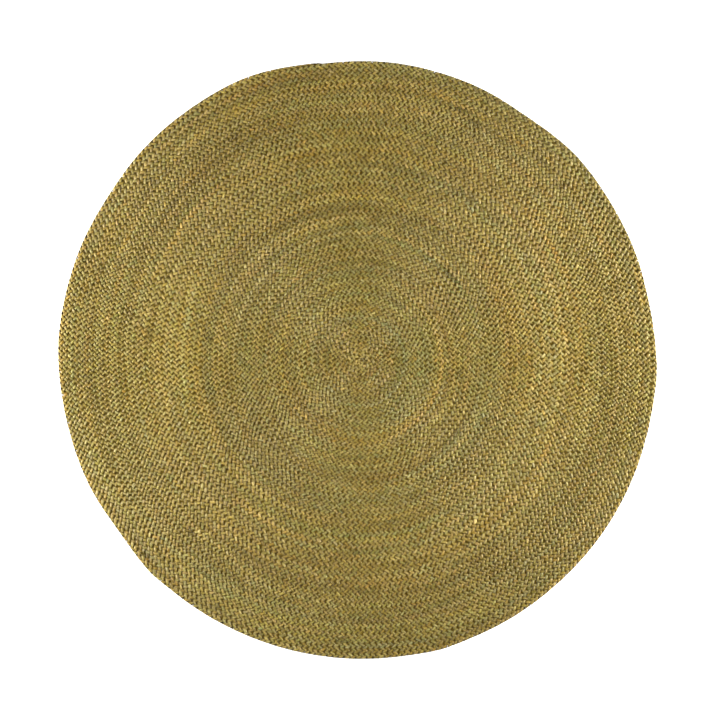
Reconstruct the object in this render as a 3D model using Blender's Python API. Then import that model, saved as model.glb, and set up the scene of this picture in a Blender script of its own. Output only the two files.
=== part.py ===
"""Round jute rug: one long three-strand plait, coiled flat and sewn edge to edge.

The rug is one solid. Its underside is a flat face on the floor. Its top is raised
into the turns of the coil: each turn rises from the seam on its inner side to a
ridge and falls to the seam on its outer side. The coil winds outward clockwise,
seen from above, and the plait's last stretch narrows and is sewn down at the rim.

Metres, +Z up. The origin is on the floor, in the middle of the rug's outline.
"""

import math
from collections import namedtuple

import bpy
from mathutils import Vector
from mathutils.geometry import delaunay_2d_cdt

# The coil
RUG_RADIUS = 0.750
TURNS = 61.0
FIRST_TURN = 0.5
COIL_CENTRE = Vector((0.006, -0.0025))

# How wide the plait is at a turn, before it is fitted to the rug's radius. It was
# plaited in stretches: the finest is wound first, and the widest two thirds of the
# way out.
Width = namedtuple("Width", "turn width")
PLAIT_WIDTHS = (
    Width(0.0, 0.0110),
    Width(8.0, 0.0120),
    Width(16.0, 0.0115),
    Width(26.0, 0.0120),
    Width(34.0, 0.0125),
    Width(36.0, 0.0140),
    Width(45.0, 0.0140),
    Width(48.0, 0.0130),
    Width(53.0, 0.0125),
    Width(61.0, 0.0130),
)

# The plait's section, as heights above the floor
RIDGE_HEIGHT = 0.0080
SEAM_HEIGHT = 0.0055
RIM_HEIGHT = 0.0040
FOOT_INSET = 0.0015

# The plait's end, as a direction in degrees anticlockwise from +X
END_DIRECTION = 97.0
TAPER_ANGLE = 18.0
TIP_WIDTH_SHARE = 0.3

# How far the rim is from round. First the slow waves: it stands out to one side, is
# a little oval, and slightly three-cornered, each most in the direction given. Then
# single bulges and flats. Directions and half widths are in degrees.
Wave = namedtuple("Wave", "corners height direction")
WAVES = (
    Wave(1, 0.0042, 18.0),
    Wave(2, 0.0036, 117.0),
    Wave(3, 0.0012, 60.0),
)
Bulge = namedtuple("Bulge", "direction half_width height")
BULGES = (
    Bulge(12.0, 6.0, -0.0025),
    Bulge(42.0, 6.0, 0.0025),
    Bulge(56.0, 7.0, -0.0050),
    Bulge(84.0, 8.0, 0.0020),
    Bulge(110.0, 10.0, 0.0035),
    Bulge(147.0, 9.0, -0.0045),
    Bulge(177.0, 9.0, 0.0040),
    Bulge(215.0, 6.0, -0.0055),
    Bulge(226.0, 3.0, 0.0025),
    Bulge(286.0, 4.0, 0.0030),
    Bulge(312.0, 12.0, -0.0015),
    Bulge(357.0, 5.0, 0.0030),
)

# Facets: how far a straight edge may cut inside its curve, and the longest step
EDGE_SAG = 0.0010
LONGEST_STEP = 0.1

# How far short of the plait's end its ridge stops, so that the tip is closed
TIP_LENGTH = 0.0066

JUTE_COLOUR = (0.287, 0.216, 0.066, 1.0)
JUTE_ROUGHNESS = 0.9


def widths_together(turn):
    """Widths of the plait, as listed, added up from the coil's centre to a turn."""
    total = 0.0
    for before, after in zip(PLAIT_WIDTHS, PLAIT_WIDTHS[1:]):
        stretch = after.turn - before.turn
        run = min(max(turn - before.turn, 0.0), stretch)
        growth = (after.width - before.width) / stretch
        total += run * (before.width + 0.5 * growth * run)
    return total


# The listed widths are scaled, so that the rim is half a turn each side of round.
WIDTH_SCALE = RUG_RADIUS / widths_together(TURNS - 0.5)
TIP_TURN = TURNS - TIP_LENGTH / (2.0 * math.pi * RUG_RADIUS)


def direction_of(turn):
    """Direction, in radians from +X, that the coil has reached after a turn count."""
    return math.radians(END_DIRECTION) + 2.0 * math.pi * (TURNS - turn)


def out_of_round(direction):
    """How far the rim stands outside a true circle in a direction."""
    offset = 0.0
    for wave in WAVES:
        away = direction - math.radians(wave.direction)
        offset += wave.height * math.cos(wave.corners * away)
    for bulge in BULGES:
        away = (math.degrees(direction) - bulge.direction + 180.0) % 360.0 - 180.0
        offset += bulge.height * math.exp(-((away / bulge.half_width) ** 2))
    return offset


def inner_radius(turn):
    """Round-coil radius of the plait's inner edge, which is the last turn's outer one."""
    return WIDTH_SCALE * widths_together(turn - 1.0)


def plait_width(turn):
    """Width of the plait, which narrows along the taper at its end."""
    width = WIDTH_SCALE * widths_together(turn) - inner_radius(turn)
    to_go = (TURNS - turn) * 360.0
    if to_go >= TAPER_ANGLE:
        return width
    share = 0.5 - 0.5 * math.cos(math.pi * to_go / TAPER_ANGLE)
    return width * (TIP_WIDTH_SHARE + (1.0 - TIP_WIDTH_SHARE) * share)


def seam_radius(turn):
    """Round-coil radius of the plait's outer edge."""
    return inner_radius(turn) + plait_width(turn)


def ridge_radius(turn):
    """Round-coil radius of the plait's middle, from the coil's centre outward."""
    return 0.5 * (inner_radius(turn) + seam_radius(turn))


def place(turn, radius):
    """Plan position on the coil, which takes on the rim's shape towards the rim."""
    direction = direction_of(turn)
    share = radius / RUG_RADIUS
    reach = radius + out_of_round(direction) * share ** 2
    towards = Vector((math.cos(direction), math.sin(direction)))
    return COIL_CENTRE * (1.0 - share) + towards * reach


def spiral_line(start, stop, radius_at):
    """Plan points along the coil, close enough together to follow its curve."""
    points = []
    turn = start
    while turn < stop:
        points.append(place(turn, radius_at(turn)))
        step = math.sqrt(8.0 * EDGE_SAG / radius_at(turn)) / (2.0 * math.pi)
        turn += min(step, LONGEST_STEP)
    points.append(place(stop, radius_at(stop)))
    return points


def chain(first, count):
    """Edges that join a run of numbered points."""
    return [(number, number + 1) for number in range(first, first + count - 1)]


def ribbed_top():
    """Top of the rug as points and triangles, with the rim's own points in order."""
    seam = spiral_line(FIRST_TURN, TURNS - 1.0, seam_radius)
    rim = spiral_line(TURNS - 1.0, TURNS, seam_radius)
    ridge = spiral_line(FIRST_TURN, TIP_TURN, ridge_radius)

    # The seam's last point is the rim's first, so it is listed once.
    plan = seam[:-1] + rim + ridge
    rim_start = len(seam) - 1
    ridge_start = rim_start + len(rim)
    heights = [SEAM_HEIGHT] * rim_start
    heights += [RIM_HEIGHT] * len(rim)
    heights += [RIDGE_HEIGHT] * len(ridge)

    # The coil runs clockwise, and an outline that faces up runs the other way.
    lines = chain(0, ridge_start) + chain(ridge_start, len(ridge))
    outline = list(reversed(range(rim_start, ridge_start)))
    inside_outline = 1
    points, _, triangles, source, _, _ = delaunay_2d_cdt(
        plan, lines, [outline], inside_outline, 1e-7
    )
    corners = []
    numbers = {}
    for number, (point, sources) in enumerate(zip(points, source)):
        corners.append(Vector((point.x, point.y, heights[sources[0]])))
        numbers[sources[0]] = number
    rim_numbers = [numbers[place_in_plan] for place_in_plan in outline]
    return corners, [tuple(triangle) for triangle in triangles], rim_numbers


def foot_below(corner):
    """Point on the floor below a point of the rim, drawn in a little."""
    inward = Vector((corner.x, corner.y, 0.0)).normalized()
    return Vector((corner.x, corner.y, 0.0)) - inward * FOOT_INSET


def middle_of(corners):
    """Middle of the outline's box, on the floor."""
    across = [corner.x for corner in corners]
    along = [corner.y for corner in corners]
    return Vector((0.5 * (min(across) + max(across)), 0.5 * (min(along) + max(along)), 0.0))


def rug_mesh():
    """Closed mesh: the ribbed top, the rounded rim and the flat underside."""
    corners, faces, rim = ribbed_top()
    foot_start = len(corners)
    corners += [foot_below(corners[number]) for number in rim]
    foot = list(range(foot_start, foot_start + len(rim)))
    for number in range(len(rim)):
        following = (number + 1) % len(rim)
        faces.append((rim[number], foot[number], foot[following], rim[following]))
    faces.append(tuple(reversed(foot)))

    middle = middle_of(corners)
    mesh = bpy.data.meshes.new("braided_rug")
    mesh.from_pydata([corner - middle for corner in corners], [], faces)
    mesh.validate()
    mesh.shade_smooth()
    mesh.set_sharp_from_angle(angle=math.radians(40.0))
    return mesh


def jute_material():
    """Plain olive-gold jute."""
    material = bpy.data.materials.new("jute")
    material.use_nodes = True
    shader = material.node_tree.nodes["Principled BSDF"]
    shader.inputs["Base Color"].default_value = JUTE_COLOUR
    shader.inputs["Roughness"].default_value = JUTE_ROUGHNESS
    shader.inputs["Metallic"].default_value = 0.0
    return material


def main():
    for old in list(bpy.data.objects):
        bpy.data.objects.remove(old, do_unlink=True)
    collection = bpy.data.collections.new("round_jute_rug")
    bpy.context.scene.collection.children.link(collection)

    rug = bpy.data.objects.new("braided_rug", rug_mesh())
    rug.data.materials.append(jute_material())
    collection.objects.link(rug)


main()
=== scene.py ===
"""Looks of the round jute rug: the three strands of its plait, coiled and sewn.

The coil's sizes are those of the solid. On them, every stretch of strand that shows
on a face of the plait is a short curved patch of mesh, with its own tint of jute,
painted shade between the strands and a few painted glints. A core in the solid's shape,
in browns of painted shade, closes the rug between the strands. Sewing thread laces the
turns together in their seams, and loose fibres stand out of the strands.

Metres, +Z up, with the floor at zero.
"""

import math
from collections import namedtuple

import bpy
import numpy as np
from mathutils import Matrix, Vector


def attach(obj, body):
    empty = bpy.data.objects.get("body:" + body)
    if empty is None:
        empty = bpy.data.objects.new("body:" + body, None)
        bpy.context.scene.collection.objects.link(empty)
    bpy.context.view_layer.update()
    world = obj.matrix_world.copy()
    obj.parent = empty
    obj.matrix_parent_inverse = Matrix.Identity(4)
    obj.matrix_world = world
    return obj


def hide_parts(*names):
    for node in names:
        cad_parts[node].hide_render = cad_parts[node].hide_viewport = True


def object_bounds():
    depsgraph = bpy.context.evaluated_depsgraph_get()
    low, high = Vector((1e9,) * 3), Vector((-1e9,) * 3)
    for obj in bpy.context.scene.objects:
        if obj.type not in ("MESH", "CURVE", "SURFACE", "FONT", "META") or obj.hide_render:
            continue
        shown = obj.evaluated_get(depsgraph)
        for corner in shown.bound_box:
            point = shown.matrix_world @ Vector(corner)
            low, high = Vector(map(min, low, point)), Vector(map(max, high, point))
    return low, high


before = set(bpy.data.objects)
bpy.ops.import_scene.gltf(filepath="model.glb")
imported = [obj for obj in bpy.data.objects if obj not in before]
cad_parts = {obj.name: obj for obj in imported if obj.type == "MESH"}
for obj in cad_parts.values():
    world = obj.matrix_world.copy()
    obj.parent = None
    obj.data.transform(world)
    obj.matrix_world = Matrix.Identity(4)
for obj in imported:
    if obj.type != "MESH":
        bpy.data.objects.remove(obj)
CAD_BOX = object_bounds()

NODE = "braided_rug"
BODY = "root"

# ---------------------------------------------------------------- the coil, as built
# These sizes are the solid's own. Only the strands start a little nearer the coil's
# centre than its first ridge does.
RUG_RADIUS = 0.750
TURNS = 61.0
FIRST_TURN = 0.42
COIL_CENTRE = np.array((0.006, -0.0025))
PLAIT_THICKNESS = 0.0080

# The plait's end: its direction and the length of its taper, in degrees, and how much
# of its width is left
END_DIRECTION = 97.0
TAPER_ANGLE = 18.0
TIP_WIDTH_SHARE = 0.3

# How wide the plait is at a turn, before it is fitted to the rug's radius
Width = namedtuple("Width", "turn width")
PLAIT_WIDTHS = (
    Width(0.0, 0.0110),
    Width(8.0, 0.0120),
    Width(16.0, 0.0115),
    Width(26.0, 0.0120),
    Width(34.0, 0.0125),
    Width(36.0, 0.0140),
    Width(45.0, 0.0140),
    Width(48.0, 0.0130),
    Width(53.0, 0.0125),
    Width(61.0, 0.0130),
)

# How far the rim is from round: slow waves, then single bulges and flats. Directions
# and half widths are in degrees.
Wave = namedtuple("Wave", "corners height direction")
WAVES = (
    Wave(1, 0.0042, 18.0),
    Wave(2, 0.0036, 117.0),
    Wave(3, 0.0012, 60.0),
)
Bulge = namedtuple("Bulge", "direction half_width height")
BULGES = (
    Bulge(12.0, 6.0, -0.0025),
    Bulge(42.0, 6.0, 0.0025),
    Bulge(56.0, 7.0, -0.0050),
    Bulge(84.0, 8.0, 0.0020),
    Bulge(110.0, 10.0, 0.0035),
    Bulge(147.0, 9.0, -0.0045),
    Bulge(177.0, 9.0, 0.0040),
    Bulge(215.0, 6.0, -0.0055),
    Bulge(226.0, 3.0, 0.0025),
    Bulge(286.0, 4.0, 0.0030),
    Bulge(312.0, 12.0, -0.0015),
    Bulge(357.0, 5.0, 0.0030),
)

# How many points the coil's tables have, and how near its centre the plait may come
EDGE_POINTS = 6101
RIM_POINTS = 2000
LENGTH_POINTS = 30000
NEAREST_CENTRE = 0.0004

# The least length that a vector is divided by
LEAST_LENGTH = 1e-9

# How far the hand-laid turns wander, and over what distance that fades out at the rim
WANDER = 0.0011
FINE_WANDER = 0.0006
WANDER_FADE = 0.06

# ---------------------------------------------------------------- the plait's strands
# Sizes in a straight plait of this width and distance between two crossings on one
# side. On the rug, the plait stretches with its width and crossings at each turn.
STRANDS = 3
STRAIGHT_WIDTH = 0.0133
CROSSING = 0.0130
Spacing = namedtuple("Spacing", "turn crossing")
CROSSINGS = (
    Spacing(0.0, 0.0125),
    Spacing(8.0, 0.0125),
    Spacing(16.0, 0.0135),
    Spacing(30.0, 0.0130),
    Spacing(36.0, 0.0135),
    Spacing(45.0, 0.0140),
    Spacing(48.0, 0.0125),
    Spacing(54.0, 0.0125),
    Spacing(57.0, 0.0140),
    Spacing(61.0, 0.0145),
)

# How far a strand swings out from the plait's middle, with a small share of a quicker
# swing, which straightens it between its turns at the plait's edges. Then how far it
# rises and dips, at its own pace.
STRAND_REACH = 0.0079
STRAND_SWEEP = -0.09
SWEEP_PACE = 3.0
STRAND_RISE = 0.0016
RISE_PACE = 2.0

# A strand's section, and how much wider and flatter it is at the plait's edges. A
# higher power keeps that nearer the edges.
STRAND_HALF_WIDTH = 0.0040
STRAND_HALF_HEIGHT = 0.0031
WIDER_AT_EDGE = 0.28
FLATTER_AT_EDGE = 0.45
EDGE_POWER = 4

# How far both faces of the plait draw in towards its edges, and its highest point
PLAIT_ARCH = 0.0011
HIGHEST_STRAND = 1.10 * PLAIT_THICKNESS

# On the rug's rim, how far across the plait the strands keep their places, and how
# much further out they get at most
RIM_REACH = 0.0060
RIM_ROUNDING = 0.0009

# How unevenly the strands lie, as standard deviations: shares of their swing, rise,
# width and height, places in metres, and roll and twist of the fibres in radians
REACH_SPREAD = 0.06
RISE_SPREAD = 0.12
WIDTH_SPREAD = 0.10
HEIGHT_SPREAD = 0.06
ALONG_STRAY = 0.0008
ACROSS_STRAY = 0.0003
STRAND_ROLL = 0.14
FIBRE_TWIST = 0.16

# Length of plait for each radian of a strand's weave, and length of strand, which is
# longer because the strand goes to and fro
STRAND_TAKE_UP = 1.16
ALONG_PER_RADIAN = STRANDS * CROSSING / (2.0 * math.pi)
STRAND_PER_RADIAN = STRAND_TAKE_UP * ALONG_PER_RADIAN

# Where a patch has its rows, as radians of the strand's weave, and its columns, as
# radians round the strand. The lower face has fewer, because it lies on the floor. Then
# which way the face looks, and where its columns lie in a cell of the bake's map, whose
# rows all patches share.
Grid = namedtuple("Grid", "rows columns up cell")
UPPER_COLUMNS = (-1.70, -1.20, -0.45, 0.45, 1.20, 1.70)
UPPER = Grid((-0.42, 0.20, 0.80, 1.42), UPPER_COLUMNS, 1.0, (0.01, 0.78))
LOWER = Grid((1.60, 2.55, 3.50), (-1.57, 0.0, 1.57), -1.0, (0.81, 0.99))
CELL_ROWS = (0.02, 0.98)

# How many pieces the plait is cut into
PIECES = 5

# Heights of the solid's underside, rim, seams and ridges, and where the core has them.
# The core is drawn in from the rim.
SOLID_HEIGHTS = (0.0, 0.0040, 0.0055, 0.0080)
CORE_HEIGHTS = (0.0012, 0.0036, 0.0053, 0.0052)
CORE_INSET = 0.0024

# ---------------------------------------------------------------- colours of the jute
# The jute's own red, green and blue, what a unit of greenness adds to them, as shares,
# and what a unit of paleness adds to their logarithms
JUTE = np.array((0.360, 0.292, 0.100))
GREEN_SHIFT = np.array((-0.016, 0.012, 0.04))
PALE_SHIFT = np.array((0.0, 0.06, 1.0))

# Where the jute has a tint of its own, or painted light or shade: how far from the middle and
# in which direction in degrees that is strongest, how far it spreads each way, and how much
# lighter and greener it is there.
ALL_ROUND = 9999.0
Tint = namedtuple("Tint", "radius spread direction half_width lightness green")
TINTS_AND_PAINTED_LIGHT = (
    # the first turns, a brown ring and a green ring round the middle
    Tint(0.010, 0.020, 0.0, ALL_ROUND, 0.10, 0.0),
    Tint(0.065, 0.022, 0.0, ALL_ROUND, 0.00, -1.6),
    Tint(0.115, 0.013, 0.0, ALL_ROUND, 0.00, 2.4),
    # greener arcs
    Tint(0.150, 0.020, 340.0, 70.0, 0.00, 2.0),
    Tint(0.220, 0.018, 120.0, 40.0, 0.00, 2.0),
    Tint(0.230, 0.018, 215.0, 40.0, 0.00, 2.2),
    Tint(0.290, 0.016, 190.0, 70.0, 0.00, 3.0),
    Tint(0.345, 0.012, 10.0, 60.0, 0.00, 2.2),
    Tint(0.655, 0.030, 240.0, 30.0, 0.00, 2.7),
    Tint(0.670, 0.013, 75.0, 30.0, 0.05, 2.0),
    # browner arcs
    Tint(0.180, 0.020, 230.0, 50.0, -0.05, -2.5),
    Tint(0.370, 0.012, 90.0, 30.0, -0.08, -2.0),
    Tint(0.375, 0.012, 5.0, 30.0, -0.08, -2.0),
    Tint(0.575, 0.025, 265.0, 45.0, -0.05, -1.5),
    # paler on the left and right: painted light where the side lamps fall on the strands
    Tint(0.470, 0.120, 8.0, 32.0, 0.24, -0.5),
    Tint(0.470, 0.120, 176.0, 28.0, 0.27, 0.2),
    Tint(0.260, 0.080, 0.0, 28.0, 0.10, 0.0),
    Tint(0.260, 0.080, 180.0, 28.0, 0.12, 0.0),
    # darker towards the rim in places, in part painted shade where the rim turns down
    Tint(0.630, 0.035, 120.0, 20.0, -0.12, 0.0),
    Tint(0.655, 0.065, 317.0, 30.0, -0.14, 0.0),
    Tint(0.720, 0.012, 315.0, 50.0, -0.14, 0.0),
    Tint(0.720, 0.012, 108.0, 12.0, -0.25, -2.5),
    # the dark start of the coil, where its first strands turn
    Tint(0.007, 0.004, 60.0, 20.0, -0.70, -1.0),
    Tint(0.008, 0.004, 12.0, 20.0, -0.70, -1.0),
    # single marks: orange and dark tufts, painted shade of a gap in a seam, and a pale tuft by
    # it
    Tint(0.086, 0.006, 78.0, 7.0, 0.12, -3.5),
    Tint(0.482, 0.006, 270.0, 2.0, -0.30, 0.0),
    Tint(0.579, 0.006, 270.0, 2.0, -0.30, 0.0),
    Tint(0.606, 0.005, 226.0, 1.6, -0.70, -1.0),
    Tint(0.593, 0.004, 227.5, 0.8, 0.45, 0.0),
)

# Uneven batches of jute along the plait: spacing in metres, and how strong they are.
Batch = namedtuple("Batch", "spacing lightness green pale")
PLAIT_BATCHES = (
    Batch(1.70, 0.045, 0.75, 0.04),
    Batch(0.50, 0.055, 0.70, 0.03),
    Batch(0.22, 0.055, 0.70, 0.03),
    Batch(0.07, 0.050, 0.60, 0.03),
)
STRAND_BATCHES = (
    Batch(0.90, 0.030, 0.50, 0.04),
    Batch(0.14, 0.040, 0.50, 0.05),
)

# Dark flecks: their spacing, how rare they are, and how dark they get
FLECK_SPACING = 0.045
FLECK_THRESHOLD = 1.9
FLECK_DARKNESS = 0.9
DARKEST_FLECK = 0.35

# How much each patch differs on its own. A few are much brighter: painted glints. Lighter
# ones are also paler, in part as painted sheen.
PATCH_LIGHTNESS = 0.04
PAINTED_GLINTS = 0.06
PATCH_GREEN = 1.7
PATCH_PALE = 0.10
PALE_WITH_LIGHTNESS = 0.4

# Shade between the strands: the heights between which it fades out, the share of the
# colour left below them and on a strand's flanks, and the power of that share in red,
# green and blue, which makes the shade browner. A higher power of the flanks keeps
# their shade nearer their sides.
DEPTH_SHADE = (0.0045, 0.0083)
DEEPEST_SHADE = 0.45
FLANK_SHADE = 0.05
FLANK_POWER = 3
SHADE_TINT = np.array((0.90, 1.05, 2.6))

# ---------------------------------------------------------------- surface of the jute
# Streaks along the fibres, in two sizes: how closely they are packed round a strand and
# along it, how they change from strand to strand, and how detailed they are. They turn
# from dark to pale between two stops.
Streaks = namedtuple("Streaks", "stretch detail")
COARSE_STREAKS = Streaks((620.0, 150.0, 31.0), 2.0)
FINE_STREAKS = Streaks((4200.0, 120.0, 57.0), 3.0)
STREAK_STOPS = (0.38, 0.62)
DARK_STREAK = (0.64, 0.58, 0.40, 1.0)
PALE_STREAK = (1.28, 1.30, 1.55, 1.0)
STRAND_ROUGHNESS = (0.54, 0.30)
STRAND_GLOSS = {
    "Anisotropic": 0.1,
    "Specular IOR Level": 0.6,
    "Specular Tint": (1.0, 0.86, 0.64, 1.0),
    "Sheen Weight": 0.10,
    "Sheen Roughness": 0.4,
}
Bump = namedtuple("Bump", "strength distance")
STRAND_BUMP = Bump(0.75, 0.0006)

# Jute that is seen small or in shade; the core's darker browns are painted shade between the
# strands
PlainJute = namedtuple("PlainJute", "name dark light scale roughness")
CORE_JUTE = PlainJute(
    "shaded_jute", (0.15, 0.10, 0.012, 1.0), (0.22, 0.15, 0.03, 1.0), 900.0, 0.9
)
THREAD_JUTE = PlainJute(
    "sewing_twine", (0.17, 0.13, 0.045, 1.0), (0.27, 0.21, 0.075, 1.0), 700.0, 0.8
)
FIBRE_JUTE = PlainJute(
    "loose_jute", (0.36, 0.27, 0.09, 1.0), (0.55, 0.45, 0.20, 1.0), 120.0, 0.6
)
PLAIN_STOPS = (0.35, 0.65)
PLAIN_DETAIL = 3.0
PLAIN_SPECULAR = 0.2
PLAIN_BUMP = Bump(0.4, 0.0003)

# ---------------------------------------------------------------- thread and fibres
# A stitch crosses a seam aslant. Its middle is its highest point. Strays are standard
# deviations. There are none at the rim, which is the outer edge of the last turn.
STITCH_EVERY = 2.0 * CROSSING
STITCH_POINTS = 3
STITCH_REACH = 0.0022
STITCH_LEAN = 0.0028
STITCH_TOP = 0.0056
STITCH_DROP = 0.0016
STITCH_THICKNESS = 0.0007
STITCH_STRAY = 0.0015
LEAN_STRAY = 0.0006
TOP_STRAY = 0.0002
LAST_STITCH_TURN = TURNS - 1.02

# Loose fibres: how many, their points, and the shape and scale of the gamma curve of
# their lengths. Then how far from the plait's two ends they start, how far across it,
# as shares of its width, and how high.
FIBRES = 3600
FIBRE_POINTS = 4
FIBRE_THICKNESS = 0.00018
LENGTH_SHAPE = 4.0
LENGTH_SCALE = 0.0016
FIBRE_END_GAP = 0.01
FIBRE_ACROSS = 0.42
FIBRE_HEIGHT = 0.0068

# How much they curl, in radians, how steeply they rise, and how far along the arc
FIBRE_CURL = 1.1
FIBRE_LIFT = (0.03, 0.20)
FIBRE_ARC = math.pi * 0.7

# The share of them that stand out of the rim, and how those differ. They start at these
# shares of half the plait's width.
RIM_FIBRES = 0.30
RIM_END_GAP = 0.03
RIM_ACROSS = (0.80, 0.96)
RIM_HEIGHTS = (0.002, 0.0070)
RIM_ASIDE = 0.5
RIM_LIFT = 0.15

# Thin tubes: their sides, how narrow their two ends are, and a direction that none of
# them follows
TUBE_SIDES = 3
TUBE_END = 0.35
ASLANT = (0.31, 0.17, 0.93)

# ---------------------------------------------------------------- random draws
# Each side and face of the plait has a seed of its own near PATCH_SEED, and each strand
# one from STRAND_SEED on.
PLAIT_SEED = 50
STRAND_SEED = 60
FLECK_SEED = 70
PATCH_SEED = 100
THREAD_SEED = 7
FIBRE_SEED = 11
SIDE_STEP = 10

# ---------------------------------------------------------------- the studio
SoftLight = namedtuple("SoftLight", "name position power")
LIGHTS = (
    SoftLight("left_light", (-3.3, 0.0, 0.74), 285.0),
    SoftLight("right_light", (3.3, 0.0, 0.74), 285.0),
    SoftLight("front_light", (0.0, -3.3, 0.74), 18.0),
    SoftLight("back_light", (0.0, 3.3, 0.74), 18.0),
)
LIGHT_SIDE = 1.5
WHITE = (1.0, 1.0, 1.0, 1.0)
SURROUND_STRENGTH = 0.05

# The floor lies just under the rug, so that their faces don't meet.
PALE_FLOOR = {
    "Base Color": (0.92, 0.92, 0.915, 1.0),
    "Roughness": 0.9,
    "Emission Color": WHITE,
    "Emission Strength": 0.75,
}
FLOOR_SIDE = 60.0
FLOOR_HEIGHT = -0.0002
WALL_SIDES = 96
WALL_RADIUS = 29.0
WALL_DEPTH = 12.0

# The photograph's side, and the rug's width and middle in it, in pixels
PHOTO_SIDE = 720
RUG_PIXELS = 599
RUG_MIDDLE_PIXEL = (357.5, 360.0)
LENS = 85.0
SENSOR_WIDTH = 36.0


# ---------------------------------------------------------------- the coil's geometry
def degrees_apart(direction, other):
    """How far one direction is from another, the short way round, in degrees."""
    return (direction - other + 180.0) % 360.0 - 180.0


def out_of_round(direction):
    """How far the rim stands outside a true circle in a direction, in radians."""
    offset = np.zeros_like(direction)
    for wave in WAVES:
        away = direction - math.radians(wave.direction)
        offset += wave.height * np.cos(wave.corners * away)
    for bulge in BULGES:
        away = degrees_apart(np.degrees(direction), bulge.direction)
        offset += bulge.height * np.exp(-((away / bulge.half_width) ** 2))
    return offset


def direction_of(turn):
    """Direction, in radians from +X, that the coil has reached after a turn count."""
    return math.radians(END_DIRECTION) + 2.0 * math.pi * (TURNS - turn)


def added_up(values, steps):
    """Running total of values over steps, from zero."""
    parts = 0.5 * (values[1:] + values[:-1]) * steps
    return np.concatenate(((0.0,), np.cumsum(parts)))


def edge_line():
    """Round-coil radius of the plait's outer edge against turn count."""
    turn = np.linspace(0.0, TURNS, EDGE_POINTS)
    width = np.interp(turn, *zip(*PLAIT_WIDTHS))
    radius = added_up(width, np.diff(turn))
    return turn, radius * RUG_RADIUS / np.interp(TURNS - 0.5, turn, radius)


EDGE_TURNS, EDGE_RADII = edge_line()


def plait_edges(turn):
    """Round-coil radius of the plait's inner and outer edge. Its end is tapered."""
    inner = np.interp(turn - 1.0, EDGE_TURNS, EDGE_RADII)
    width = np.interp(turn, EDGE_TURNS, EDGE_RADII) - inner
    to_go = np.clip((TURNS - turn) * 360.0 / TAPER_ANGLE, 0.0, 1.0)
    share = 0.5 - 0.5 * np.cos(math.pi * to_go)
    return inner, inner + width * (TIP_WIDTH_SHARE + (1.0 - TIP_WIDTH_SHARE) * share)


def place(turn, radius):
    """Plan position on the coil, which takes on the rim's shape towards the rim."""
    direction = direction_of(turn)
    share = radius / RUG_RADIUS
    reach = radius + out_of_round(direction) * share**2
    towards = np.stack((np.cos(direction), np.sin(direction)), -1)
    return COIL_CENTRE * (1.0 - share)[..., None] + towards * reach[..., None]


def outline_middle():
    """Middle of the box round the rim, where the rug has its origin."""
    turn = np.linspace(TURNS - 1.0, TURNS, RIM_POINTS)
    rim = place(turn, plait_edges(turn)[1])
    return 0.5 * (rim.min(0) + rim.max(0))


MIDDLE = outline_middle()


def middle_line():
    """Turn count against the length of straight plait that has been laid."""
    turn = np.linspace(FIRST_TURN, TURNS, LENGTH_POINTS)
    inner, outer = plait_edges(turn)
    points = place(turn, 0.5 * (inner + outer))
    steps = np.linalg.norm(np.diff(points, axis=0), axis=1)
    stretched = np.interp(turn, *zip(*CROSSINGS)) / CROSSING
    return turn, added_up(1.0 / stretched, steps)


TURN_TABLE, LENGTH_TABLE = middle_line()
PLAIT_LENGTH = LENGTH_TABLE[-1]


def length_at(turn):
    """Length of straight plait that has been laid at a turn count."""
    return np.interp(turn, TURN_TABLE, LENGTH_TABLE)


def turn_at(along):
    """Turn count at a length along the straight plait."""
    return np.interp(along, LENGTH_TABLE, TURN_TABLE)


# The plait is the rug's rim from its last turn on. The rounding of the rim starts half
# a taper earlier, where the narrow end of the plait leaves the turn before it bare.
LAST_TURN_START = length_at(TURNS - 1.0)
RIM_START = length_at(TURNS - 1.0 - 0.5 * TAPER_ANGLE / 360.0)


def rounded_off(across):
    """Places across the plait, held back near its outer edge, which is the rug's rim."""
    beyond = np.maximum(across - RIM_REACH, 0.0)
    return np.minimum(across, RIM_REACH) + RIM_ROUNDING * (1.0 - np.exp(-beyond / RIM_ROUNDING))


def wander(plan):
    """Small sideways wander of the hand-laid turns, which fades out at the rim.

    The numbers with x and y are waves, in radians for each metre, which differ so that
    the wander doesn't repeat. The other numbers bend and shift the waves.
    """
    x, y = plan[..., 0], plan[..., 1]
    fade = np.clip((RUG_RADIUS - np.hypot(x, y)) / WANDER_FADE, 0.0, 1.0)
    aside = WANDER * np.sin(17.0 * x + 3.0 * np.sin(9.0 * y))
    aside += FINE_WANDER * np.sin(41.0 * y - 23.0 * x + 1.0)
    forward = WANDER * np.sin(15.0 * y + 2.0 * np.sin(11.0 * x) + 2.0)
    forward += FINE_WANDER * np.sin(37.0 * x + 29.0 * y)
    return plan + np.stack((aside, forward), -1) * fade[..., None]


def on_rug(along, across, up):
    """Points of the rug from lengths along, across and up in the straight plait."""
    along, across, up = np.broadcast_arrays(along, across, up)
    turn = turn_at(along)
    inner, outer = plait_edges(turn)
    radius = 0.5 * (inner + outer) + across * (outer - inner) / STRAIGHT_WIDTH
    plan = wander(place(turn, np.maximum(radius, NEAREST_CENTRE))) - MIDDLE
    return np.concatenate((plan, np.maximum(up, 0.0)[..., None]), -1)


def unit(vectors):
    """The vectors, each with a length of one."""
    length = np.linalg.norm(vectors, axis=-1, keepdims=True)
    return vectors / np.maximum(length, LEAST_LENGTH)


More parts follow.
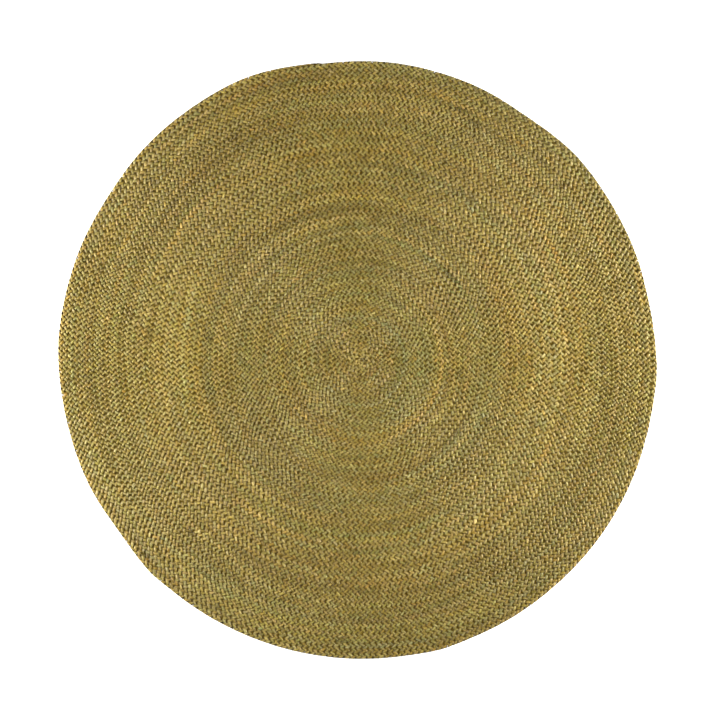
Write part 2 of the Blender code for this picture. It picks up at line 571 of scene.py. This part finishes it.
# ---------------------------------------------------------------- meshes from arrays
def mesh_of(name, points, faces):
    """Smooth mesh from an array of points and one of faces with equal corners."""
    mesh = bpy.data.meshes.new(name)
    mesh.vertices.add(len(points))
    mesh.vertices.foreach_set("co", points.astype(np.float32).ravel())
    mesh.loops.add(faces.size)
    mesh.loops.foreach_set("vertex_index", faces.astype(np.int32).ravel())
    mesh.polygons.add(len(faces))
    starts = np.arange(0, faces.size, faces.shape[1], dtype=np.int32)
    mesh.polygons.foreach_set("loop_start", starts)
    mesh.update(calc_edges=True)
    mesh.shade_smooth()
    return mesh


def repeated(quads, count, points_each):
    """Quads of one shape, repeated for count shapes with that many points each."""
    first = np.arange(count) * points_each
    return (quads[None] + first[:, None, None]).reshape(-1, 4)


def patch_faces(count, grid):
    """Quads of count separate patches of points, numbered row by row."""
    rows, columns = len(grid.rows), len(grid.columns)
    corner = np.arange(rows * columns).reshape(rows, columns)
    quads = np.stack(
        (corner[:-1, :-1], corner[1:, :-1], corner[1:, 1:], corner[:-1, 1:]), -1
    ).reshape(-1, 4)
    if grid.up > 0:
        quads = quads[:, ::-1]
    return repeated(quads, count, rows * columns)


def add_attributes(mesh, colours, fibre, sideways):
    """Each point's colour with painted light, its place on the strand and the direction across
    it.
    """
    rgba = np.concatenate((colours, np.ones((len(colours), 1))), 1)
    layer = mesh.attributes.new("jute_and_painted_light", "FLOAT_COLOR", "POINT")
    layer.data.foreach_set("color", rgba.astype(np.float32).ravel())
    for name, values in (("fibre_place", fibre), ("strand_across", sideways)):
        layer = mesh.attributes.new(name, "FLOAT_VECTOR", "POINT")
        layer.data.foreach_set("vector", values.astype(np.float32).ravel())


def shown_piece(name, mesh, material):
    """A piece that rides with the rug and stands for its solid."""
    mesh.materials.append(material)
    piece = bpy.data.objects.new(name, mesh)
    bpy.context.scene.collection.objects.link(piece)
    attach(piece, BODY)
    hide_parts(NODE)
    return piece


# ---------------------------------------------------------------- tints
def drift(position, spacing, rng):
    """Smooth random values along a line, about one swing each spacing."""
    knots = rng.standard_normal(int(position.max() / spacing) + 3)
    at = position / spacing
    low = np.floor(at).astype(int)
    part = at - low
    part = part * part * (3.0 - 2.0 * part)
    return knots[low] * (1.0 - part) + knots[low + 1] * part


def tint_and_painted_light_at(turn):
    """Lightness and greenness at a turn, from the table of tints and painted light."""
    direction = np.degrees(direction_of(turn))
    inner, outer = plait_edges(turn)
    radius = 0.5 * (inner + outer)
    lightness = np.zeros_like(turn)
    green = np.zeros_like(turn)
    for tint in TINTS_AND_PAINTED_LIGHT:
        away = degrees_apart(direction, tint.direction)
        near = np.exp(-(((radius - tint.radius) / tint.spread) ** 2))
        near *= np.exp(-((away / tint.half_width) ** 2))
        lightness += tint.lightness * near
        green += tint.green * near
    return lightness, green


def slow_changes(along, strand, strand_along):
    """Lightness, greenness and paleness from the tints and painted light, batches of jute and
    flecks.
    """
    lightness, green = tint_and_painted_light_at(turn_at(along))
    pale = np.zeros_like(along)
    every_patch = np.ones(len(along), bool)
    lines = [(every_patch, along, PLAIT_BATCHES, PLAIT_SEED)]
    for number in range(STRANDS):
        lines.append((strand == number, strand_along, STRAND_BATCHES, STRAND_SEED + number))
    for own, line, batches, seed in lines:
        rng = np.random.default_rng(seed)
        for batch in batches:
            lightness[own] += batch.lightness * drift(line[own], batch.spacing, rng)
            green[own] += batch.green * drift(line[own], batch.spacing, rng)
            pale[own] += batch.pale * drift(line[own], batch.spacing, rng)
    fleck = drift(along, FLECK_SPACING, np.random.default_rng(FLECK_SEED)) - FLECK_THRESHOLD
    lightness -= np.clip(FLECK_DARKNESS * fleck, 0.0, DARKEST_FLECK)
    return lightness, green, pale


def patch_colours(along, strand, strand_along, rng):
    """One colour for each patch of strand, from slow changes and one of its own, with painted
    glints.
    """
    lightness, green, pale = slow_changes(along, strand, strand_along)
    lightness += PATCH_LIGHTNESS * rng.standard_normal(len(along))
    # painted glints: a few patches much brighter
    lightness += PAINTED_GLINTS * (rng.exponential(1.0, len(along)) - 1.0)
    green += PATCH_GREEN * rng.standard_normal(len(along))
    # lighter patches paler, in part painted sheen
    pale += PATCH_PALE * rng.standard_normal(len(along)) + PALE_WITH_LIGHTNESS * lightness
    shift = 1.0 + green[:, None] * GREEN_SHIFT
    return JUTE * shift * np.exp(lightness[:, None] + pale[:, None] * PALE_SHIFT)


def shade_between(height, round_strand):
    """Share of each colour channel that is left low down and on a strand's flanks."""
    low, high = DEPTH_SHADE
    part = np.clip((height - low) / (high - low), 0.0, 1.0)
    share = DEEPEST_SHADE + (1.0 - DEEPEST_SHADE) * part
    flank = np.abs(np.sin(round_strand)) ** FLANK_POWER
    share = share * (1.0 - (1.0 - FLANK_SHADE) * flank)
    return share[..., None] ** SHADE_TINT


# ---------------------------------------------------------------- the strands
Line = namedtuple("Line", "along across up run half_width half_height")
Block = namedtuple("Block", "side grid points colours fibre across")


def strand_line(start, side, weave, rng):
    """Where each patch's strand runs in the straight plait, which way, and its section.

    A strand weaves from side to side and over and under. It lies on top while it runs
    outward from the plait's middle, and below while it comes back. Its run is a
    direction across, along and up.
    """
    each = (len(start), 1, 1)

    def uneven(spread):
        return 1.0 + spread * rng.standard_normal(each)

    reach = STRAND_REACH * uneven(REACH_SPREAD)
    rise = STRAND_RISE * uneven(RISE_SPREAD)
    half_width = STRAND_HALF_WIDTH * uneven(WIDTH_SPREAD)
    half_height = STRAND_HALF_HEIGHT * uneven(HEIGHT_SPREAD)
    along = start[:, None, None] + ALONG_PER_RADIAN * weave
    along = along + ALONG_STRAY * rng.standard_normal(each)
    across = side * reach * (np.sin(weave) + STRAND_SWEEP * np.sin(SWEEP_PACE * weave))
    across = across + ACROSS_STRAY * rng.standard_normal(each)
    up = rise * np.sin(RISE_PACE * weave)

    turned_swing = SWEEP_PACE * STRAND_SWEEP * np.cos(SWEEP_PACE * weave)
    swing = side * reach * (np.cos(weave) + turned_swing)
    climb = rise * RISE_PACE * np.cos(RISE_PACE * weave)
    run = unit(np.stack(np.broadcast_arrays(swing, ALONG_PER_RADIAN, climb), -1))
    at_edge = np.sin(weave) ** EDGE_POWER
    half_width = half_width * (1.0 + WIDER_AT_EDGE * at_edge)
    half_height = half_height * (1.0 - FLATTER_AT_EDGE * at_edge)
    return Line(along, across, up, run, half_width, half_height)


def strand_surface(line, round_strand, up_sign, rng):
    """Places of the patches' points in the straight plait: along, across and up."""
    run = line.run
    flat = unit(np.stack((run[..., 1], -run[..., 0], 0.0 * run[..., 0]), -1))
    crest = np.cross(flat, run)
    level = line.half_width * np.sin(round_strand)
    upright = up_sign * line.half_height * np.cos(round_strand)
    roll = STRAND_ROLL * rng.standard_normal((len(run), 1, 1))
    sideways = level * np.cos(roll) - upright * np.sin(roll)
    outward = level * np.sin(roll) + upright * np.cos(roll)
    across = line.across + sideways * flat[..., 0] + outward * crest[..., 0]
    along = line.along + sideways * flat[..., 1] + outward * crest[..., 1]
    up = line.up + outward * crest[..., 2] + 0.5 * PLAIT_THICKNESS
    out_to_edge = np.clip(2.0 * across / STRAIGHT_WIDTH, -1.0, 1.0)
    up = up - up_sign * PLAIT_ARCH * out_to_edge**2
    return np.clip(along, 0.0, PLAIT_LENGTH), across, np.minimum(up, HIGHEST_STRAND)


def strand_at(numbers, side):
    """Which strand is on each patch, and how far along that strand the patch is."""
    counted = numbers if side > 0 else numbers - 1
    woven = 2.0 * math.pi * (counted // STRANDS + 1) + (0.0 if side > 0 else math.pi)
    return counted % STRANDS, STRAND_PER_RADIAN * woven


def fibre_places(half_width, weave, round_strand, strand, strand_along, rng):
    """Each point's place on its strand: round it, along it, and a number of its own."""
    on_strand = STRAND_PER_RADIAN * weave
    twist = FIBRE_TWIST * rng.standard_normal((len(strand), 1, 1))
    around = half_width * round_strand + twist * on_strand
    forward = strand_along[:, None, None] + on_strand
    own = 1.0 + strand[:, None, None]
    return np.stack(np.broadcast_arrays(around, forward, own), -1)


def strand_patches(numbers, side, grid, seed):
    """Points, colours, fibre places and cross directions of one side's patches."""
    rng = np.random.default_rng(seed)
    weave = np.array(grid.rows)[None, :, None]
    round_strand = np.array(grid.columns)[None, None, :]
    start = CROSSING * (numbers + (0.0 if side > 0 else 0.5))
    line = strand_line(start, side, weave, rng)
    along, across, up = strand_surface(line, round_strand, grid.up, rng)
    at_rim = (start > RIM_START)[:, None, None]
    across = np.where(at_rim, rounded_off(across), across)
    points = on_rug(along, across, up)

    strand, strand_along = strand_at(numbers, side)
    colours = patch_colours(start, strand, strand_along, rng)[:, None, None, :]
    colours = colours * shade_between(points[..., 2], round_strand)
    fibre = fibre_places(line.half_width, weave, round_strand, strand, strand_along, rng)
    sideways = unit(points[:, :, -1:] - points[:, :, :1])
    return points, colours, fibre, np.broadcast_to(sideways, points.shape)


def bake_places(count, grid):
    """Places of the patches on the bake's map: a cell of a square for each pair."""
    per_row = math.ceil(math.sqrt(count))
    cell = np.arange(count)
    low = np.stack((cell % per_row, cell // per_row), -1)[:, None, None, :]
    rows = np.linspace(*CELL_ROWS, len(grid.rows))[None, :, None]
    columns = np.linspace(*grid.cell, len(grid.columns))[None, None, :]
    inside = np.stack(np.broadcast_arrays(columns, rows), -1)
    return (low + inside) / per_row


def strand_piece(name, blocks, first, last, material):
    """One piece of the plait, from its first crossing up to its last."""
    count = last - first
    parts = []
    used = 0
    for block in blocks:
        faces = patch_faces(count, block.grid)
        cells = bake_places(2 * count, block.grid)
        cells = cells[0::2] if block.side > 0 else cells[1::2]
        corners = cells.reshape(-1, 2)[faces.ravel()]
        arrays = (block.points, block.colours, block.fibre, block.across)
        stretch = [array[first:last].reshape(-1, 3) for array in arrays]
        parts.append((faces + used, corners, *stretch))
        used += len(stretch[0])
    faces, corners, points, colours, fibre, sideways = map(np.concatenate, zip(*parts))
    mesh = mesh_of(name, points, faces)
    add_attributes(mesh, colours, fibre, sideways)
    layer = mesh.uv_layers.new(name="OFBake", do_init=False)
    layer.uv.foreach_set("vector", corners.astype(np.float32).ravel())
    return shown_piece(name, mesh, material)


def strand_pieces(material):
    """The whole plait, in a few pieces with an equal number of crossings."""
    crossings = int(PLAIT_LENGTH / CROSSING) - 1
    blocks = []
    for side in (1, -1):
        for grid in (UPPER, LOWER):
            seed = PATCH_SEED + SIDE_STEP * side + int(grid.up)
            made = strand_patches(np.arange(crossings), side, grid, seed)
            blocks.append(Block(side, grid, *made))
    cuts = np.linspace(0, crossings, PIECES + 1).astype(int)
    pieces = []
    for number, (first, last) in enumerate(zip(cuts[:-1], cuts[1:])):
        name = f"strands_{number + 1}"
        pieces.append(strand_piece(name, blocks, first, last, material))
    return pieces


# ---------------------------------------------------------------- core
def core_piece(material):
    """The solid's own ribbed shape, drawn in under the strands."""
    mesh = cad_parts[NODE].data.copy()
    mesh.name = "plait_core"
    mesh.materials.clear()
    points = np.empty(len(mesh.vertices) * 3, np.float32)
    mesh.vertices.foreach_get("co", points)
    points = points.reshape(-1, 3)
    points[:, :2] *= 1.0 - CORE_INSET / RUG_RADIUS
    points[:, 2] = np.interp(points[:, 2], SOLID_HEIGHTS, CORE_HEIGHTS)
    mesh.vertices.foreach_set("co", points.ravel())
    mesh.update()
    return shown_piece("plait_core", mesh, material)


# ---------------------------------------------------------------- thin round things
def thin_tubes(lines, thickness):
    """Points and quads of many thin tubes along lines, an array (tube, point, 3)."""
    count, length = lines.shape[:2]
    run = unit(np.gradient(lines, axis=1))
    aside = unit(np.cross(run, ASLANT))
    above = np.cross(run, aside)
    turned = np.linspace(0.0, 2.0 * math.pi, TUBE_SIDES, endpoint=False)[:, None]
    around = aside[:, :, None] * np.cos(turned) + above[:, :, None] * np.sin(turned)
    narrow = np.ones(length)
    narrow[0] = narrow[-1] = TUBE_END
    points = lines[:, :, None] + around * (0.5 * thickness * narrow)[None, :, None, None]
    ring = np.arange(length * TUBE_SIDES).reshape(length, TUBE_SIDES)
    after = np.roll(ring, -1, axis=1)
    quads = np.stack((ring[:-1], after[:-1], after[1:], ring[1:]), -1).reshape(-1, 4)
    return points.reshape(-1, 3), repeated(quads, count, length * TUBE_SIDES)


def thin_piece(name, lines, thickness, material):
    """A piece of many thin tubes along lines."""
    return shown_piece(name, mesh_of(name, *thin_tubes(lines, thickness)), material)


def sewing_thread(material):
    """Lacing that crosses each seam between two turns, low between the strands."""
    rng = np.random.default_rng(THREAD_SEED)
    along = np.arange(CROSSING, PLAIT_LENGTH - CROSSING, STITCH_EVERY)
    along = along[turn_at(along) < LAST_STITCH_TURN][:, None]
    each = along.shape
    along = along + STITCH_STRAY * rng.standard_normal(each)
    step = np.linspace(-1.0, 1.0, STITCH_POINTS)[None, :]
    lean = STITCH_LEAN + LEAN_STRAY * rng.standard_normal(each)
    across = 0.5 * STRAIGHT_WIDTH + STITCH_REACH * step
    up = STITCH_TOP - STITCH_DROP * step**2 + TOP_STRAY * rng.standard_normal(each)
    lines = on_rug(along + lean * step, across, up)
    return thin_piece("sewing_thread", lines, STITCH_THICKNESS, material)


def fibre_roots(at_rim, rng):
    """Where loose fibres start in the straight plait: along, across and up."""
    at_rim_count = at_rim.sum()
    along = rng.uniform(FIBRE_END_GAP, PLAIT_LENGTH - FIBRE_END_GAP, FIBRES)
    along[at_rim] = rng.uniform(LAST_TURN_START, PLAIT_LENGTH - RIM_END_GAP, at_rim_count)
    across = rng.uniform(-FIBRE_ACROSS, FIBRE_ACROSS, FIBRES) * STRAIGHT_WIDTH
    across[at_rim] = 0.5 * STRAIGHT_WIDTH * rng.uniform(*RIM_ACROSS, at_rim_count)
    up = np.where(at_rim, rng.uniform(*RIM_HEIGHTS, FIBRES), FIBRE_HEIGHT)
    return along[:, None], across[:, None], up[:, None]


def loose_fibres(material):
    """Short fibres that have worked loose from the strands, more of them at the rim."""
    rng = np.random.default_rng(FIBRE_SEED)
    at_rim = rng.random(FIBRES) < RIM_FIBRES
    along, across, up = fibre_roots(at_rim, rng)
    at_rim = at_rim[:, None]
    length = rng.gamma(LENGTH_SHAPE, LENGTH_SCALE, FIBRES)[:, None]
    step = np.linspace(0.0, 1.0, FIBRE_POINTS)[None, :]
    heading = rng.uniform(0.0, 2.0 * math.pi, FIBRES)[:, None]
    curl = rng.normal(0.0, FIBRE_CURL, FIBRES)[:, None]
    forward = np.cos(heading + curl * step) * length * step
    aside = np.sin(heading + curl * step) * length * step
    aside = np.where(at_rim, RIM_ASIDE * np.abs(aside), aside)
    lift = rng.uniform(*FIBRE_LIFT, FIBRES)[:, None] * length * np.sin(FIBRE_ARC * step)
    rise = up + np.where(at_rim, RIM_LIFT, 1.0) * lift
    lines = on_rug(along + forward, across + aside, rise)
    return thin_piece("loose_fibres", lines, FIBRE_THICKNESS, material)


# ---------------------------------------------------------------- materials
Kit = namedtuple("Kit", "material shader node link")


def new_material(name):
    """A new material, its Principled node, and makers of its other nodes and links."""
    material = bpy.data.materials.new(name)
    material.use_nodes = True
    tree = material.node_tree

    def node(kind, inputs=None, **settings):
        made = tree.nodes.new(kind)
        for key, value in settings.items():
            setattr(made, key, value)
        set_inputs(made, inputs or {})
        return made

    return Kit(material, tree.nodes["Principled BSDF"], node, tree.links.new)


def set_inputs(node, values):
    """Set a node's own inputs, by name or number."""
    for key, value in values.items():
        node.inputs[key].default_value = value


def two_tones(kit, factor, stops, dark, light):
    """Colour that goes from dark to light between two stops of a factor."""
    ramp = kit.node("ShaderNodeValToRGB")
    for element, stop, colour in zip(ramp.color_ramp.elements, stops, (dark, light)):
        element.position = stop
        element.color = colour
    kit.link(factor, ramp.inputs["Fac"])
    return ramp.outputs["Color"]


def raised(kit, height, bump):
    """Relief from a height on the material's surface."""
    made = kit.node("ShaderNodeBump", {"Strength": bump.strength, "Distance": bump.distance})
    kit.link(height, made.inputs["Height"])
    kit.link(made.outputs["Normal"], kit.shader.inputs["Normal"])


def streak_noise(kit, where, streaks):
    """Noise that is drawn out along the fibres."""
    stretched = kit.node("ShaderNodeVectorMath", {1: streaks.stretch}, operation="MULTIPLY")
    kit.link(where, stretched.inputs[0])
    noise = kit.node("ShaderNodeTexNoise", {"Scale": 1.0, "Detail": streaks.detail})
    kit.link(stretched.outputs["Vector"], noise.inputs["Vector"])
    return noise.outputs["Fac"]


def streaked_tint(kit, streak):
    """Base colour: the patch's tint and painted light, darker and paler in the streaks."""
    mean = kit.node("ShaderNodeMath", {1: 0.5}, operation="MULTIPLY")
    kit.link(streak, mean.inputs[0])
    tones = two_tones(kit, mean.outputs["Value"], STREAK_STOPS, DARK_STREAK, PALE_STREAK)
    tint = kit.node("ShaderNodeAttribute", attribute_name="jute_and_painted_light")
    streaked = kit.node("ShaderNodeVectorMath", operation="MULTIPLY")
    kit.link(tint.outputs["Color"], streaked.inputs[0])
    kit.link(tones, streaked.inputs[1])
    kit.link(streaked.outputs["Vector"], kit.shader.inputs["Base Color"])


def strand_material():
    """Plaited jute: the patch's tint and painted light, streaked and ridged along its fibres.
    """
    kit = new_material("plaited_jute")
    where = kit.node("ShaderNodeAttribute", attribute_name="fibre_place")
    coarse = streak_noise(kit, where.outputs["Vector"], COARSE_STREAKS)
    fine = streak_noise(kit, where.outputs["Vector"], FINE_STREAKS)
    both = kit.node("ShaderNodeMath", operation="ADD")
    kit.link(coarse, both.inputs[0])
    kit.link(fine, both.inputs[1])
    streaked_tint(kit, both.outputs["Value"])
    raised(kit, both.outputs["Value"], STRAND_BUMP)

    rough, smooth = STRAND_ROUGHNESS
    roughness = kit.node("ShaderNodeMapRange", {"To Min": rough, "To Max": smooth})
    kit.link(fine, roughness.inputs["Value"])
    kit.link(roughness.outputs["Result"], kit.shader.inputs["Roughness"])
    across = kit.node("ShaderNodeAttribute", attribute_name="strand_across")
    kit.link(across.outputs["Vector"], kit.shader.inputs["Tangent"])
    set_inputs(kit.shader, STRAND_GLOSS)
    return kit.material


def plain_material(jute):
    """Jute seen small or in shade: two tones in a fine uneven mix."""
    kit = new_material(jute.name)
    where = kit.node("ShaderNodeTexCoord")
    noise = kit.node("ShaderNodeTexNoise", {"Scale": jute.scale, "Detail": PLAIN_DETAIL})
    kit.link(where.outputs["Object"], noise.inputs["Vector"])
    tones = two_tones(kit, noise.outputs["Fac"], PLAIN_STOPS, jute.dark, jute.light)
    kit.link(tones, kit.shader.inputs["Base Color"])
    raised(kit, noise.outputs["Fac"], PLAIN_BUMP)
    set_inputs(kit.shader, {"Roughness": jute.roughness, "Specular IOR Level": PLAIN_SPECULAR})
    return kit.material


# ---------------------------------------------------------------- floor, lights, camera
def studio_floor():
    """Plain pale floor and a low pale wall far round it, both faintly lit from within."""
    kit = new_material("pale_floor")
    set_inputs(kit.shader, PALE_FLOOR)
    bpy.ops.mesh.primitive_plane_add(size=FLOOR_SIDE, location=(0.0, 0.0, FLOOR_HEIGHT))
    floor = bpy.context.object
    floor.name = "studio_floor"
    bpy.ops.mesh.primitive_cylinder_add(
        vertices=WALL_SIDES,
        radius=WALL_RADIUS,
        depth=WALL_DEPTH,
        end_fill_type="NOTHING",
        location=(0.0, 0.0, 0.0),
    )
    wall = bpy.context.object
    wall.name = "studio_wall"
    for piece in (floor, wall):
        piece.data.materials.append(kit.material)


def studio_light():
    """Soft square lights that face the rug's middle, and an even pale surround."""
    for light in LIGHTS:
        data = bpy.data.lights.new(light.name, "AREA")
        data.shape = "SQUARE"
        data.size = LIGHT_SIDE
        data.energy = light.power
        lamp = bpy.data.objects.new(light.name, data)
        lamp.location = light.position
        lamp.rotation_mode = "QUATERNION"
        lamp.rotation_quaternion = (-Vector(light.position)).to_track_quat("-Z", "Y")
        bpy.context.scene.collection.objects.link(lamp)
    world = bpy.data.worlds.new("studio")
    world.use_nodes = True
    surround = world.node_tree.nodes["Background"]
    set_inputs(surround, {"Color": WHITE, "Strength": SURROUND_STRENGTH})
    bpy.context.scene.world = world


def camera():
    """Straight above the rug, with the photograph's framing."""
    metres_per_pixel = (CAD_BOX[1].x - CAD_BOX[0].x) / RUG_PIXELS
    data = bpy.data.cameras.new("camera")
    data.lens = LENS
    data.sensor_width = SENSOR_WIDTH
    height = PHOTO_SIDE * metres_per_pixel * LENS / SENSOR_WIDTH
    view = bpy.data.objects.new("camera", data)
    aside = (0.5 * PHOTO_SIDE - RUG_MIDDLE_PIXEL[0]) * metres_per_pixel
    forward = (RUG_MIDDLE_PIXEL[1] - 0.5 * PHOTO_SIDE) * metres_per_pixel
    view.location = (aside, forward, height + PLAIT_THICKNESS)
    bpy.context.scene.collection.objects.link(view)
    bpy.context.scene.camera = view
    bpy.context.scene.view_settings.view_transform = "Standard"
    bpy.context.scene.view_settings.look = "Medium High Contrast"


# ---------------------------------------------------------------- the scene
camera()
studio_floor()
studio_light()

# the core's dark browns are painted shade between the strands
core = core_piece(plain_material(CORE_JUTE))
strands = strand_pieces(strand_material())
thread = sewing_thread(plain_material(THREAD_JUTE))
fibres = loose_fibres(plain_material(FIBRE_JUTE))
